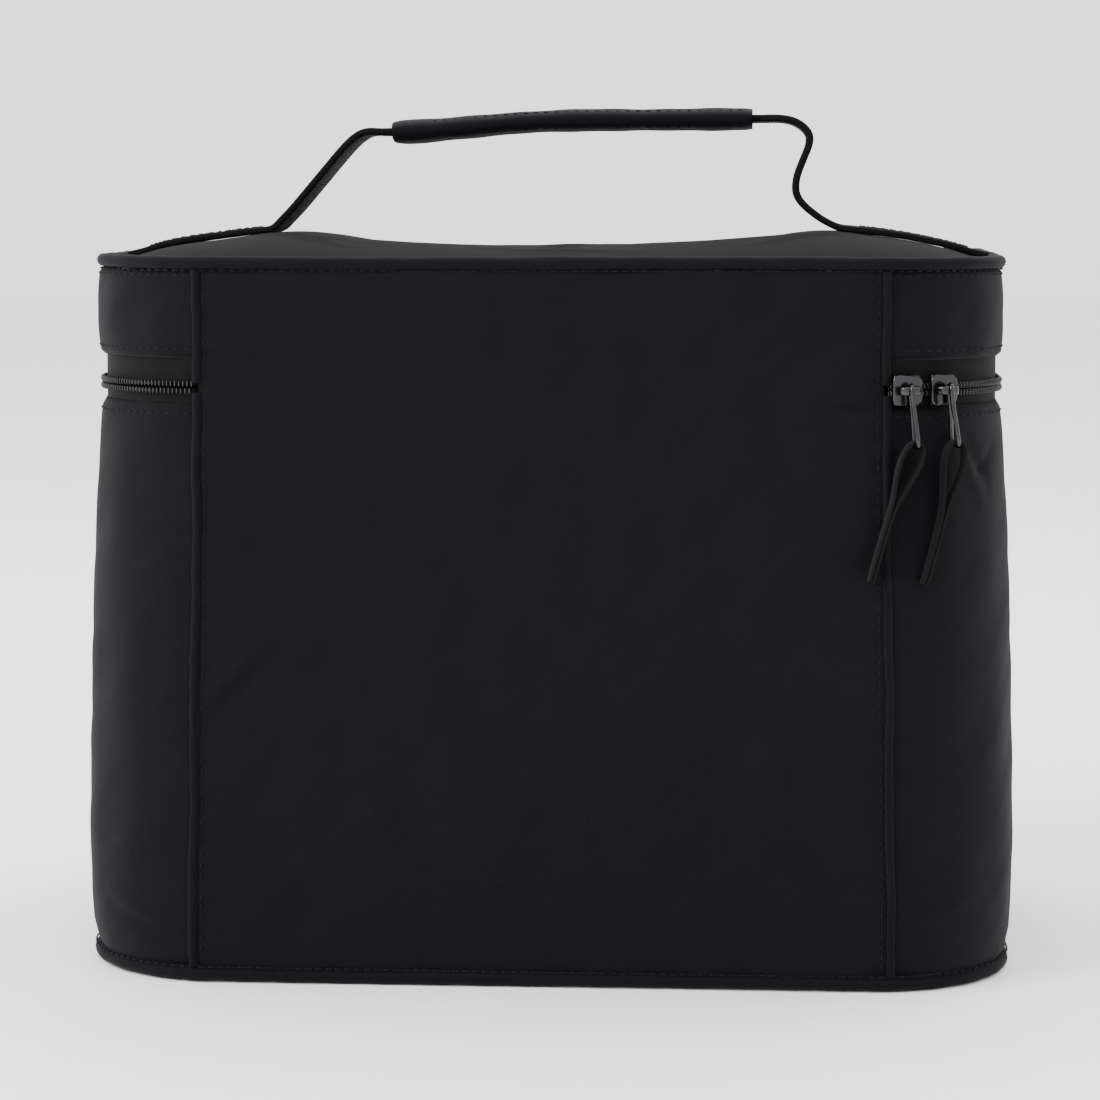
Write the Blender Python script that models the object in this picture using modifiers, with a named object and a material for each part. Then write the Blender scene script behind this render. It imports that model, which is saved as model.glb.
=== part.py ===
"""Insulated lunch bag: zip-round lid on a cloth hinge, webbing handle with a padded grip, two sliders.

Millimetres below, metres in the scene. Origin at the centre of the base, +Z up. The back panel, which
carries the cloth hinge, is on the -Y side. Angles round the bag run from -Y towards +X, and an inset is
a distance inwards from the outer cloth face.
"""
from math import cos, radians, sin, tau

import bmesh
import bpy
import numpy as np
from mathutils import Vector

MM = 0.001

# plan of the bag: a rounded rectangle
HALF_WIDTH, HALF_DEPTH, CORNER = 130.0, 80.0, 40.0
STEP = 11.25  # degrees between plan vertices on a corner
SEAM = 11.25  # where the back panel meets the wrap panel
SEAM_GAP = 0.3  # degrees left open on each side of a seam
SIDE = 89.8  # where the free end of the upper zip starts

# sheet goods
CLOTH, FOAM, LINER, BINDING, TAPE, WEBBING = 0.9, 4.0, 0.6, 0.8, 0.6, 2.2
GAP = 0.3

# heights
BASE_TOP = 4.7  # where the walls start, above the base piping
FOAM_TOP = 158.0
BODY_TOP = 163.0  # lining and binding
PANEL_TOP = 165.0
HINGE_Z = 170.0
ZIP_SLOT = 0.8
SKIRT_LOW, SKIRT_HIGH = 179.0, 202.4
CROWN_EDGE = 204.2
BASE_PIPING_Z, LID_PIPING_Z, PIPING_R = 2.4, 204.8, 2.0
COIL_R, COIL_INSET = 0.85, 0.15

# height of the lid's top cloth over its edge, along the middle line
CROWN = {
    -126.4: 0, -121: 2.2, -116: 3.6, -108: 5.0, -100: 6.0, -93: 7.0, -85: 7.6, -78: 7.4, -70: 6.7, -62: 5.8,
    -47: 4.7, -32: 4.0, -14: 3.5, 0: 2.6, 14: 3.8, 28: 4.6, 43: 5.3, 58: 6.5, 70: 7.5, 78: 7.9, 86: 8.0,
    94: 7.2, 102: 6.2, 110: 4.7, 116: 3.4, 121: 2.1, 126.4: 0,
}

# handle: webbing centre line in the XZ plane
STRAP_WIDTH = 25.0
LEG_LEFT = [
    (-84.6, 213.6), (-81.6, 216.5), (-77.7, 220.6), (-70.1, 229.5), (-62.8, 237.9), (-58.8, 241.3),
    (-55.5, 242.4), (-50.6, 242.3),
]
LEG_RIGHT = [
    (60.8, 246.2), (67.0, 246.1), (71.8, 244.8), (75.0, 241.9), (75.3, 238.7), (73.6, 234.1), (71.8, 229.1),
    (71.5, 224.7), (73.2, 221.3), (77.2, 217.8), (80.8, 215.5), (84.6, 213.7),
]
GRIP_LINE = [(-47.5, 242.2), (-38, 242.8), (-24, 244), (-9, 245.2), (8, 245.8), (30, 245.9), (58, 246.1)]
GRIP_HALF_WIDTH, GRIP_HALF_THICK, PAD = 15.5, 3.5, 0.9
STRAP_TAIL, STRAP_ROOT = 126.0, 85.0
HANDLE_Z = 214.8

# zip sliders: angle round the back right corner, hang of the pull tab from vertical
SLIDERS = {"1": (16.6, -18.0), "2": (32.0, -13.0)}
SLIDER_HALF_LENGTH, SLIDER_HALF_HEIGHT = 4.25, 4.5
BRIDGE_INSET = -4.9
WIRE_R, RING_TOP_R, RING_DROP, RING_HALF = 0.65, 1.6, 15.3, 3.6
TAB_WIDTH, TAB_PLY, TAB_LENGTH = 5.4, 0.8, 39.0

MATERIALS = {  # colour, roughness, metallic
    "shell_fabric": ((0.013, 0.012, 0.015), 0.9, 0.0),
    "base_fabric": ((0.010, 0.010, 0.011), 0.85, 0.0),
    "lining": ((0.62, 0.64, 0.66), 0.38, 0.0),
    "foam": ((0.82, 0.82, 0.79), 0.95, 0.0),
    "board": ((0.05, 0.05, 0.05), 0.7, 0.0),
    "binding": ((0.012, 0.012, 0.013), 0.8, 0.0),
    "zip_tape": ((0.018, 0.020, 0.018), 0.85, 0.0),
    "zip_coil": ((0.012, 0.012, 0.012), 0.45, 0.0),
    "webbing": ((0.011, 0.011, 0.013), 0.8, 0.0),
    "black_nickel": ((0.05, 0.05, 0.055), 0.28, 1.0),
}


# ---- scene and objects ----

def clear():
    for obj in list(bpy.data.objects):
        bpy.data.objects.remove(obj, do_unlink=True)


def collection(name, hidden=False):
    group = bpy.data.collections.new(name)
    bpy.context.scene.collection.children.link(group)
    group.hide_render = hidden
    return group


def paint(obj, slot):
    colour, rough, metal = MATERIALS[slot]
    mat = bpy.data.materials.new(obj.name)
    mat.use_nodes = True
    shader = mat.node_tree.nodes["Principled BSDF"]
    shader.inputs["Base Color"].default_value = (*colour, 1)
    shader.inputs["Roughness"].default_value = rough
    shader.inputs["Metallic"].default_value = metal
    mat.diffuse_color = (*colour, 1)
    obj.data.materials.append(mat)


def empty(name, x, y, z):
    obj = bpy.data.objects.new(name, None)
    obj.location = Vector((x, y, z)) * MM
    obj.empty_display_size = 0.01
    BAG.objects.link(obj)
    return obj


def place(name, data, slot, pivot=None, group=None):
    obj = bpy.data.objects.new(name, data)
    (group or BAG).objects.link(obj)
    if pivot:
        obj.parent = pivot
        obj.location = -pivot.location
    paint(obj, slot)
    return obj


def mesh(name, verts, faces, slot, pivot=None, group=None):
    data = bpy.data.meshes.new(name)
    data.from_pydata([tuple(c * MM for c in v) for v in verts], [], faces)
    bm = bmesh.new()
    bm.from_mesh(data)
    bmesh.ops.remove_doubles(bm, verts=bm.verts, dist=1e-6)
    bm.to_mesh(data)
    bm.free()
    return place(name, data, slot, pivot, group)


def solidify(obj, thickness, offset=-1.0):
    mod = obj.modifiers.new("thickness", "SOLIDIFY")
    mod.thickness, mod.offset, mod.use_even_offset = thickness * MM, offset, True
    return obj


def tube(name, points, radius, slot, closed=False, sides=1, pivot=None):
    data = bpy.data.curves.new(name, "CURVE")
    data.dimensions = "3D"
    data.bevel_depth, data.bevel_resolution, data.use_fill_caps = radius * MM, sides, not closed
    line = data.splines.new("POLY")
    line.points.add(len(points) - 1)
    for knot, point in zip(line.points, points):
        knot.co = (*(c * MM for c in point), 1)
    line.use_cyclic_u = closed
    return place(name, data, slot, pivot)


# ---- plan ----

def plan(inset, start=0.0, end=360.0):
    """Plan points from one angle round the bag to another; a flat side joins the two points at its angle."""
    centres = [(90, -40), (90, 40), (-90, 40), (-90, -40)]
    first = np.ceil((start + 1e-6) / STEP) * STEP
    angles = [start, *np.arange(first, end - 1e-6, STEP), end]
    points = []
    for angle in angles:
        before, after = int(np.ceil(angle / 90) - 1) % 4, int(np.floor(angle / 90)) % 4
        corners = {start: [after], end: [before]}.get(angle, sorted({before, after}, key=[before, after].index))
        for corner in corners:
            x, y = centres[corner]
            r = CORNER - inset
            points.append((x + r * sin(radians(angle)), y - r * cos(radians(angle))))
    return points


WRAP = (SEAM + SEAM_GAP, 360 - SEAM - SEAM_GAP)
BACK = (-SEAM + SEAM_GAP, SEAM - SEAM_GAP)


def wall(name, inset, thickness, low, high, slot, span=None, pivot=None):
    """A standing sheet round the bag, or along part of it, with its outer face at an inset."""
    outer, inner = (plan(i, *(span or (0, 360))) for i in (inset, inset + thickness))
    n = len(outer)
    verts = [(x, y, z) for line, z in ((outer, low), (outer, high), (inner, high), (inner, low)) for x, y in line]
    faces = []
    for i in range(n if span is None else n - 1):
        j = (i + 1) % n
        faces += [(k * n + i, k * n + j, (k + 1) % 4 * n + j, (k + 1) % 4 * n + i) for k in range(4)]
    if span:
        faces += [(0, n, 2 * n, 3 * n), (4 * n - 1, 3 * n - 1, 2 * n - 1, n - 1)]
    return mesh(name, verts, faces, slot, pivot)


def plate(name, inset, low, high, slot, pivot=None):
    line = plan(inset)
    n = len(line)
    verts = [(x, y, z) for z in (low, high) for x, y in line]
    faces = [(i, (i + 1) % n, n + (i + 1) % n, n + i) for i in range(n)]
    faces += [tuple(reversed(range(n))), tuple(range(n, 2 * n))]
    return mesh(name, verts, faces, slot, pivot)


def ring_tube(name, inset, z, radius, slot, span=None, sides=1, pivot=None):
    line = [(x, y, z) for x, y in plan(inset, *(span or (0, 360)))]
    return tube(name, line, radius, slot, span is None, sides, pivot)


def crown(x, across):
    """Rise of the lid's top cloth: x along the bag, and how far from the middle line, 0 to 1 at the edge."""
    return np.interp(x, list(CROWN), list(CROWN.values())) * (1 - abs(across) ** 2.2)


def crown_grid(inset, z):
    """Columns of points over the lid, edge to edge, following the crown above a height."""
    r = CORNER - inset
    arc = [(90 + r * sin(radians(a)), 40 + r * cos(radians(a))) for a in np.arange(0, 90.1, STEP)]
    half = [(x, HALF_DEPTH - inset) for x in (0, 12, 28, 44, 60, 76)] + arc
    columns = [(-x, y) for x, y in reversed(half[1:])] + half
    across = np.linspace(-1, 1, 11)
    reach = 126.4 / (HALF_WIDTH - inset)
    verts = [(x, y * t, z + crown(x * reach, t)) for x, y in columns for t in across]
    m = len(across)
    faces = [
        (i * m + j, (i + 1) * m + j, (i + 1) * m + j + 1, i * m + j + 1)
        for i in range(len(columns) - 1)
        for j in range(m - 1)
    ]
    return verts, faces, len(columns), m


# ---- the pieces ----

def body():
    wall("side_front_panel", 0, CLOTH, BASE_TOP, PANEL_TOP, "shell_fabric", WRAP)
    wall("back_panel", 0, CLOTH, BASE_TOP, HINGE_Z - ZIP_SLOT / 2, "shell_fabric", BACK)
    plate("base_panel", 3.8, 0, 1.0, "base_fabric")
    ring_tube("base_piping", 1.5, BASE_PIPING_Z, PIPING_R, "binding", sides=2)
    plate("base_board", 4.2, 1.3, 3.3, "board")
    plate("base_foam", 5.5, 3.6, 7.6, "foam")
    wall("wrap_foam", 1.2, FOAM, BASE_TOP, FOAM_TOP, "foam", WRAP)
    wall("back_foam", 1.2, FOAM, BASE_TOP, FOAM_TOP, "foam", BACK)
    tub("body_liner", 5.5, 7.9, BODY_TOP)
    wall("body_rim_binding", 6.4, BINDING, 152, 164, "binding")
    wall("zip_tape_lower", 1.3, TAPE, FOAM_TOP + GAP, HINGE_Z - ZIP_SLOT / 2, "zip_tape", WRAP)
    ring_tube("zip_coil_lower", COIL_INSET, HINGE_Z - ZIP_SLOT / 2 - COIL_R, COIL_R, "zip_coil", WRAP)
    for name, angle in (("seam_ridge_left", -SEAM), ("seam_ridge_right", SEAM)):
        ridge(name, angle, BASE_TOP, BODY_TOP - 1)


def tub(name, inset, floor, top):
    line = plan(inset)
    n = len(line)
    verts = [(x, y, z) for z in (floor, top) for x, y in line]
    faces = [(i, (i + 1) % n, n + (i + 1) % n, n + i) for i in range(n)] + [tuple(reversed(range(n)))]
    solidify(mesh(name, verts, faces, "lining"), LINER)


def ridge(name, angle, low, high, pivot=None):
    """The turned seam allowance that stands up along a side of the back panel."""
    wall(name, -1.3, 1.0, low, high, "shell_fabric", (angle - 1.7, angle + 1.7), pivot)


def lid():
    hinge = empty("lid_hinge", 0, -HALF_DEPTH, HINGE_Z)
    edge = HINGE_Z + ZIP_SLOT / 2
    wall("lid_skirt", 0, CLOTH, SKIRT_LOW, SKIRT_HIGH, "shell_fabric", WRAP, hinge)
    wall("lid_back_panel", 0, CLOTH, edge, SKIRT_HIGH, "shell_fabric", BACK, hinge)
    wall("lid_wall_foam", 1.3, FOAM, 182, 198, "foam", pivot=hinge)
    wall("lid_rim_binding", 6.5, BINDING, 180, 192, "binding", pivot=hinge)
    ring_tube("lid_piping", 1.2, LID_PIPING_Z, PIPING_R, "binding", sides=2, pivot=hinge)

    verts, faces, _, _ = crown_grid(3.6, CROWN_EDGE)
    solidify(mesh("lid_top_panel", verts, faces, "shell_fabric", hinge), CLOTH)
    verts, faces, _, _ = crown_grid(4.2, CROWN_EDGE - CLOTH - 0.4)
    solidify(mesh("lid_top_foam", verts, faces, "foam", hinge), 3.6)
    lid_liner(hinge)

    spans = {"": (SIDE, 360 - SIDE), "_end_right": (WRAP[0], SIDE - 0.4), "_end_left": (360 - SIDE + 0.4, WRAP[1])}
    for end, span in spans.items():
        wall("zip_tape_upper" + end, 1.3, TAPE, edge, 181.6, "zip_tape", span, hinge)
        ring_tube("zip_coil_upper" + end, COIL_INSET, edge + COIL_R, COIL_R, "zip_coil", span, pivot=hinge)
    for name, angle in (("lid_ridge_left", -SEAM), ("lid_ridge_right", SEAM)):
        ridge(name, angle, SKIRT_LOW, SKIRT_HIGH - 0.4, hinge)
    for name, side in (("strap_end_left", -1), ("strap_end_right", 1)):
        strap_end(name, side, hinge)


def lid_liner(hinge):
    verts, faces, columns, m = crown_grid(5.6, 198.9)
    front = [i * m + m - 1 for i in range(columns)]
    back = [i * m for i in range(columns)]
    left, right = list(range(m)), [(columns - 1) * m + j for j in range(m)]
    loop = back[:-1] + right[:-1] + front[:0:-1] + left[:0:-1]
    start = len(verts)
    verts += [(verts[i][0], verts[i][1], SKIRT_LOW) for i in loop]
    n = len(loop)
    faces += [(start + i, start + (i + 1) % n, loop[(i + 1) % n], loop[i]) for i in range(n)]
    solidify(mesh("lid_liner", verts, faces, "lining", hinge), LINER)


def strap_end(name, side, hinge):
    """The webbing from the lid's side seam to the stitched box where the handle leaves the lid."""
    xs = np.linspace(STRAP_TAIL, STRAP_ROOT + 0.5, 7)
    line = [(side * x, CROWN_EDGE + crown(side * x, 0) + GAP + 0.2 + WEBBING / 2) for x in xs]
    ribbon(name, line, STRAP_WIDTH, WEBBING, "webbing", hinge)


def ribbon(name, line, width, thickness, slot, pivot=None):
    """A flat strap along a line in the XZ plane, its width along Y."""
    verts = [(x, s * width / 2, z) for x, z in line for s in (-1, 1)]
    faces = [(2 * i, 2 * i + 1, 2 * i + 3, 2 * i + 2) for i in range(len(line) - 1)]
    return solidify(mesh(name, verts, faces, slot, pivot), thickness, 0.0)


def handle():
    hinge = empty("handle_hinge", 0, 0, HANDLE_Z)
    ribbon("strap_leg_left", LEG_LEFT, STRAP_WIDTH, WEBBING, "webbing", hinge)
    ribbon("strap_leg_right", LEG_RIGHT, STRAP_WIDTH, WEBBING, "webbing", hinge)
    inside = [(-50.2, 242.25), *GRIP_LINE, (60.4, 246.2)]
    ribbon("handle_strap", inside, STRAP_WIDTH, WEBBING, "webbing", hinge)
    grip_tube("grip_sleeve", GRIP_HALF_WIDTH, GRIP_HALF_THICK, "shell_fabric", hinge)
    inner = PAD + GAP
    grip_tube("grip_foam", GRIP_HALF_WIDTH - inner, GRIP_HALF_THICK - inner, "foam", hinge)


def grip_tube(name, half_width, half_thick, slot, hinge):
    flat = half_width - half_thick
    section = []
    for side in (1, -1):
        for turn in np.linspace(-90, 90, 7):
            section.append((side * (flat + half_thick * cos(radians(turn))), side * half_thick * sin(radians(turn))))
    n = len(section)
    verts = [(x, y, z + dz) for x, z in GRIP_LINE for y, dz in section]
    faces = [
        (r * n + i, (r + 1) * n + i, (r + 1) * n + (i + 1) % n, r * n + (i + 1) % n)
        for r in range(len(GRIP_LINE) - 1)
        for i in range(n)
    ]
    obj = mesh(name, verts, faces, slot, hinge)
    bm = bmesh.new()
    bm.from_mesh(obj.data)
    bmesh.ops.recalc_face_normals(bm, faces=bm.faces)
    bm.to_mesh(obj.data)
    bm.free()
    solidify(obj, PAD)


# ---- sliders and pulls, each built facing -Y about its own joint axis ----

def box(name, low, high, slot, group=None, bevel=0.0):
    x0, y0, z0 = low
    x1, y1, z1 = high
    verts = [(x, y, z) for z in (z0, z1) for x, y in ((x0, y0), (x1, y0), (x1, y1), (x0, y1))]
    faces = [(0, 3, 2, 1), (4, 5, 6, 7), (0, 1, 5, 4), (1, 2, 6, 5), (2, 3, 7, 6), (3, 0, 4, 7)]
    obj = mesh(name, verts, faces, slot, group=group)
    if bevel:
        mod = obj.modifiers.new("edge", "BEVEL")
        mod.width, mod.segments, mod.limit_method = bevel * MM, 1, "ANGLE"
    return obj


def merge(obj, *others):
    for other in others:
        mod = obj.modifiers.new(other.name, "BOOLEAN")
        mod.operation, mod.solver, mod.object = "UNION", "EXACT", other
        other.display_type, other.hide_render = "WIRE", True


def stand(obj, angle, x, y, z):
    obj.location, obj.rotation_euler = Vector((x, y, z)) * MM, (0, 0, radians(angle))
    return obj


def slider(number, angle):
    def at(inset):
        return inset - CORNER

    length, height, z = SLIDER_HALF_LENGTH, SLIDER_HALF_HEIGHT, HINGE_Z
    crown_plate = box(f"slider_{number}", (-length, at(-2.3), z - height), (length, at(-1.3), z + height), "black_nickel", bevel=0.35)
    rails = [
        box(f"cut_rail_{number}_{i}", (-length + 0.9, at(-1.8), low), (length - 0.3, at(0.8), low + 0.8), "black_nickel", CUTTERS)
        for i, low in enumerate((z - height + 0.35, z + height - 1.15))
    ]
    neck = box(f"cut_neck_{number}", (2.2, at(-1.8), z - 0.2), (4.0, at(3.1), z + 0.2), "black_nickel", CUTTERS)
    keel = box(f"cut_keel_{number}", (-length, at(2.6), z - 4), (length, at(3.5), z + 4), "black_nickel", CUTTERS)
    feet = [
        box(f"cut_foot_{number}_{i}", (x, at(-5.5), z - 1.1), (x + 1.2, at(-1.8), z + 1.1), "black_nickel", CUTTERS)
        for i, x in enumerate((-3.4, 2.2))
    ]
    bar = box(f"cut_bar_{number}", (-2.8, at(-5.45), z - 0.6), (2.8, at(-4.35), z + 0.6), "black_nickel", CUTTERS)
    pieces = [*rails, neck, keel, *feet, bar]
    merge(crown_plate, *pieces)
    for obj in (crown_plate, *pieces):
        stand(obj, angle, 90, -40, 0)


def pull(number, angle, hang):
    reach = CORNER - BRIDGE_INSET
    hinge_x, hinge_y = 90 + reach * sin(radians(angle)), -40 - reach * cos(radians(angle))

    top = [(0, -RING_TOP_R * cos(a), RING_TOP_R * sin(a)) for a in np.radians(np.linspace(0, 180, 7))]
    right = [(0, RING_TOP_R, -5.6), (0, RING_HALF, -12.5), (0, RING_HALF, -RING_DROP + 0.9), (0, RING_HALF - 0.9, -RING_DROP)]
    left = [(x, -y, z) for x, y, z in reversed(right)]
    ring = tube(f"pull_ring_{number}", top + right + left, WIRE_R, "black_nickel", closed=True)
    stand(ring, angle, hinge_x, hinge_y, HINGE_Z)

    drop = radians(hang)
    half = TAB_PLY / 2 + 0.08
    loop = [(half, -TAB_LENGTH), (half, -17.5), (1.2, -13.5), (2.3, -9.0), (2.7, -5.0), (2.4, -1.8), (1.5, 0.4), (0, 1.3)]
    line = [(x, z) for x, z in loop] + [(-x, z) for x, z in reversed(loop[:-1])]
    line = [(x * cos(drop) - z * sin(drop), x * sin(drop) + z * cos(drop)) for x, z in line]
    tab = ribbon(f"pull_tab_{number}", line, TAB_WIDTH, TAB_PLY, "webbing")
    stand(tab, angle, hinge_x, hinge_y, HINGE_Z - RING_DROP)


clear()
BAG = collection("lunch_box")
CUTTERS = collection("cutters", hidden=True)
body()
lid()
handle()
for number, (angle, hang) in SLIDERS.items():
    slider(number, angle)
    pull(number, angle, hang)
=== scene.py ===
from math import cos, pi, radians, sin

import bmesh
import bpy
import numpy as np
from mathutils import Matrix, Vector


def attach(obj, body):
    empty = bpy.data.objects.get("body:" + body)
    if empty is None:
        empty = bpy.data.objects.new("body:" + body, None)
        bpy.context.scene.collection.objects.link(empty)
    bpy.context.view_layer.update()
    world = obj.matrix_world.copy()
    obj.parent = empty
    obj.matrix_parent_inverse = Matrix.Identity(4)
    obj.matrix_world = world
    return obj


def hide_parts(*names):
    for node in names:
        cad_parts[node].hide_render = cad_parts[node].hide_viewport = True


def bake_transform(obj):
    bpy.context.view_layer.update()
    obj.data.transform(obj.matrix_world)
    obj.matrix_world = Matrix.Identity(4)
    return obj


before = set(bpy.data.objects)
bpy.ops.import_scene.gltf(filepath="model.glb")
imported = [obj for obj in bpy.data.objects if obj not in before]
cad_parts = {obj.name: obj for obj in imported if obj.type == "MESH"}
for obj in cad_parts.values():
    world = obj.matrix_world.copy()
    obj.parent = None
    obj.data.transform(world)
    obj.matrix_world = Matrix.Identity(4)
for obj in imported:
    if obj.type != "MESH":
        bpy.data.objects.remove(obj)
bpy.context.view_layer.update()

MM = 0.001
HALF_WIDTH, HALF_DEPTH, CORNER = 130.0, 80.0, 40.0
FLAT_X, FLAT_Y = HALF_WIDTH - CORNER, HALF_DEPTH - CORNER  # where the straight sides end
ARC = CORNER * pi / 2
LOOP = 4 * (ARC + FLAT_X + FLAT_Y)  # length round the bag
SEAM = 96.3  # along the bag from the middle of the back to a seam
CLOTH = 0.9
HINGE_Z = 170.0
SLIDERS = {"1": (16.6, -18.0), "2": (32.0, -13.0)}


# ---- materials ----

WAVES_PER_UNIT = 0.314159  # Scale at which a wave texture repeats once in each unit


class Shader:
    """A Principled material with a few helpers for its node tree."""

    def __init__(self, name, colour, rough, metal=0.0):
        self.mat = bpy.data.materials.new(name)
        self.mat.use_nodes = True
        self.nodes, self.links = self.mat.node_tree.nodes, self.mat.node_tree.links
        self.bsdf = self.nodes["Principled BSDF"]
        self.colour = colour
        self.bsdf.inputs["Base Color"].default_value = (*colour, 1)
        self.bsdf.inputs["Roughness"].default_value = rough
        self.bsdf.inputs["Metallic"].default_value = metal

    def add(self, kind, **values):
        node = self.nodes.new("ShaderNode" + kind)
        for key, value in values.items():
            if hasattr(node, key):
                setattr(node, key, value)
            else:
                node.inputs[key.replace("_", " ")].default_value = value
        return node

    def vary(self, vector, scale, low, high):
        """Base colour wanders between two strengths of itself."""
        noise = self.add("TexNoise", Scale=scale, Detail=5.0)
        ramp = self.add("ValToRGB")
        for element, position, strength in zip(ramp.color_ramp.elements, (0.3, 0.7), (low, high)):
            element.position = position
            element.color = (*(c * strength for c in self.colour), 1)
        self.links.new(vector, noise.inputs["Vector"])
        self.links.new(noise.outputs["Fac"], ramp.inputs["Fac"])
        return ramp.outputs["Color"]

    def bump(self, height, strength, distance, normal=None):
        node = self.add("Bump", Strength=strength, Distance=distance)
        self.links.new(height, node.inputs["Height"])
        if normal:
            self.links.new(normal, node.inputs["Normal"])
        return node.outputs["Normal"]


def wave(shader, vector, pitch, angle):
    """Ribs at an angle, a pitch in metres apart."""
    turn = shader.add("Mapping")
    turn.inputs["Rotation"].default_value = (0, 0, radians(angle))
    band = shader.add("TexWave", Scale=WAVES_PER_UNIT / pitch, Distortion=0.0, Detail=1.0)
    shader.links.new(vector, turn.inputs["Vector"])
    shader.links.new(turn.outputs["Vector"], band.inputs["Vector"])
    return band.outputs["Fac"]


def woven(name, colour, pitch=0.0006, angle=45.0, second=None,
          rough=0.82, sheen=0.034, contrast=0.55, bump=0.5):
    """Cloth with diagonal or crossing ribs. Its UV map is in metres, along the bag and up."""
    shader = Shader(name, colour, rough)
    uv = shader.add("TexCoord").outputs["UV"]
    rib = wave(shader, uv, pitch, angle)
    if second is not None:
        other = wave(shader, uv, pitch, second)
        mix = shader.add("Math", operation="MULTIPLY")
        shader.links.new(rib, mix.inputs[0])
        shader.links.new(other, mix.inputs[1])
        rib = mix.outputs[0]
    base = shader.vary(uv, 60.0, 0.88, 1.12)
    dark = shader.add("MixRGB", blend_type="MULTIPLY", Fac=contrast)
    shader.links.new(base, dark.inputs["Color1"])
    shader.links.new(rib, dark.inputs["Color2"])
    shader.links.new(dark.outputs["Color"], shader.bsdf.inputs["Base Color"])
    fuzz = shader.add("TexNoise", Scale=2500.0, Detail=3.0)
    shader.links.new(uv, fuzz.inputs["Vector"])
    soft = shader.bump(fuzz.outputs["Fac"], 0.25, 0.00008)
    shader.links.new(shader.bump(rib, bump, 0.00012, soft), shader.bsdf.inputs["Normal"])
    shader.bsdf.inputs["Sheen Weight"].default_value = sheen
    shader.bsdf.inputs["Sheen Roughness"].default_value = 0.45
    shader.bsdf.inputs["Sheen Tint"].default_value = (0.75, 0.75, 0.85, 1)
    shader.bsdf.inputs["Specular IOR Level"].default_value = 0.10
    return shader.mat


def plain(name, colour, rough, metal=0.0, grain=900.0, depth=0.00004, coat=0.0, drift=0.15):
    """Moulded, cast or foamed stuff: fine grain, slight wear in colour and gloss."""
    shader = Shader(name, colour, rough, metal)
    at = shader.add("TexCoord").outputs["Object"]
    shader.links.new(shader.vary(at, 90.0, 1 - drift, 1 + drift), shader.bsdf.inputs["Base Color"])
    noise = shader.add("TexNoise", Scale=grain, Detail=4.0)
    shader.links.new(at, noise.inputs["Vector"])
    shader.links.new(shader.bump(noise.outputs["Fac"], 0.3, depth), shader.bsdf.inputs["Normal"])
    gloss = shader.add("MapRange")
    gloss.inputs["To Min"].default_value = rough * 0.8
    gloss.inputs["To Max"].default_value = min(1, rough * 1.2)
    shader.links.new(noise.outputs["Fac"], gloss.inputs["Value"])
    shader.links.new(gloss.outputs["Result"], shader.bsdf.inputs["Roughness"])
    shader.bsdf.inputs["Coat Weight"].default_value = coat
    return shader.mat


BLACK = (0.0026, 0.0024, 0.0038)
TWILL = woven("twill", BLACK, angle=-45)
TWILL_SIDE = woven("twill_side", BLACK, angle=45)
TWILL_LID = woven("twill_lid", (0.0026, 0.0024, 0.0034), angle=30, rough=0.97, sheen=0.006)
BINDING = woven("binding", (0.0030, 0.0029, 0.0036), pitch=0.0005, angle=90, contrast=0.4)
TAPE = woven("zip_tape", (0.0034, 0.0037, 0.0034), pitch=0.0009, angle=25, second=-25, contrast=0.5)
WEBBING = woven("webbing", (0.0030, 0.0030, 0.0034), pitch=0.0016, angle=0, second=90, contrast=0.5, bump=0.9)
RIBBON = woven("ribbon", (0.0038, 0.0037, 0.0042), pitch=0.0009, angle=90, contrast=0.4)
THREAD = woven("thread", (0.0016, 0.0016, 0.0020), pitch=0.0003, angle=60, sheen=0.08, contrast=0.5)
COIL = plain("coil", (0.003, 0.003, 0.003), 0.4)
NICKEL = plain("black_nickel", (0.03, 0.03, 0.032), 0.2, 1.0, 500.0, 0.00001, 0.3)
FILM = plain("lining_film", (0.62, 0.64, 0.66), 0.32, 0.25, 120.0, 0.0012)
FOAM = plain("foam", (0.80, 0.80, 0.77), 0.95, 0.0, 1500.0, 0.0002)
BOARD = plain("board", (0.03, 0.03, 0.03), 0.6)
PU = woven("base_cloth", (0.004, 0.004, 0.0045), pitch=0.0008, angle=0, second=90, rough=0.7)


# ---- the bag's plan ----

def around(s, inset=0.0):
    """Position and outward direction at distances round the bag from the middle of the back, towards +X."""
    s = np.mod(np.asarray(s, float), LOOP)
    x, y, nx, ny = (np.zeros_like(s) for _ in range(4))
    # each stretch: length, is it a corner, its start or its corner's centre, heading in degrees
    walk = [
        (FLAT_X, False, 0, -HALF_DEPTH, 0),
        (ARC, True, FLAT_X, -FLAT_Y, 0),
        (2 * FLAT_Y, False, HALF_WIDTH, -FLAT_Y, 90),
        (ARC, True, FLAT_X, FLAT_Y, 90),
        (2 * FLAT_X, False, FLAT_X, HALF_DEPTH, 180),
        (ARC, True, -FLAT_X, FLAT_Y, 180),
        (2 * FLAT_Y, False, -HALF_WIDTH, FLAT_Y, 270),
        (ARC, True, -FLAT_X, -FLAT_Y, 270),
        (FLAT_X, False, -FLAT_X, -HALF_DEPTH, 360),
    ]
    at = 0.0
    for length, is_corner, from_x, from_y, degrees in walk:
        here = (s >= at) & (s <= at + length)
        t = s[here] - at
        heading = radians(degrees)
        if is_corner:
            angle = heading + t / CORNER
            nx[here], ny[here] = np.sin(angle), -np.cos(angle)
            x[here], y[here] = from_x + CORNER * nx[here], from_y + CORNER * ny[here]
        else:
            nx[here], ny[here] = sin(heading), -cos(heading)
            x[here], y[here] = from_x + t * cos(heading), from_y + t * sin(heading)
        at += length
    return x - inset * nx, y - inset * ny, nx, ny


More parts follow.
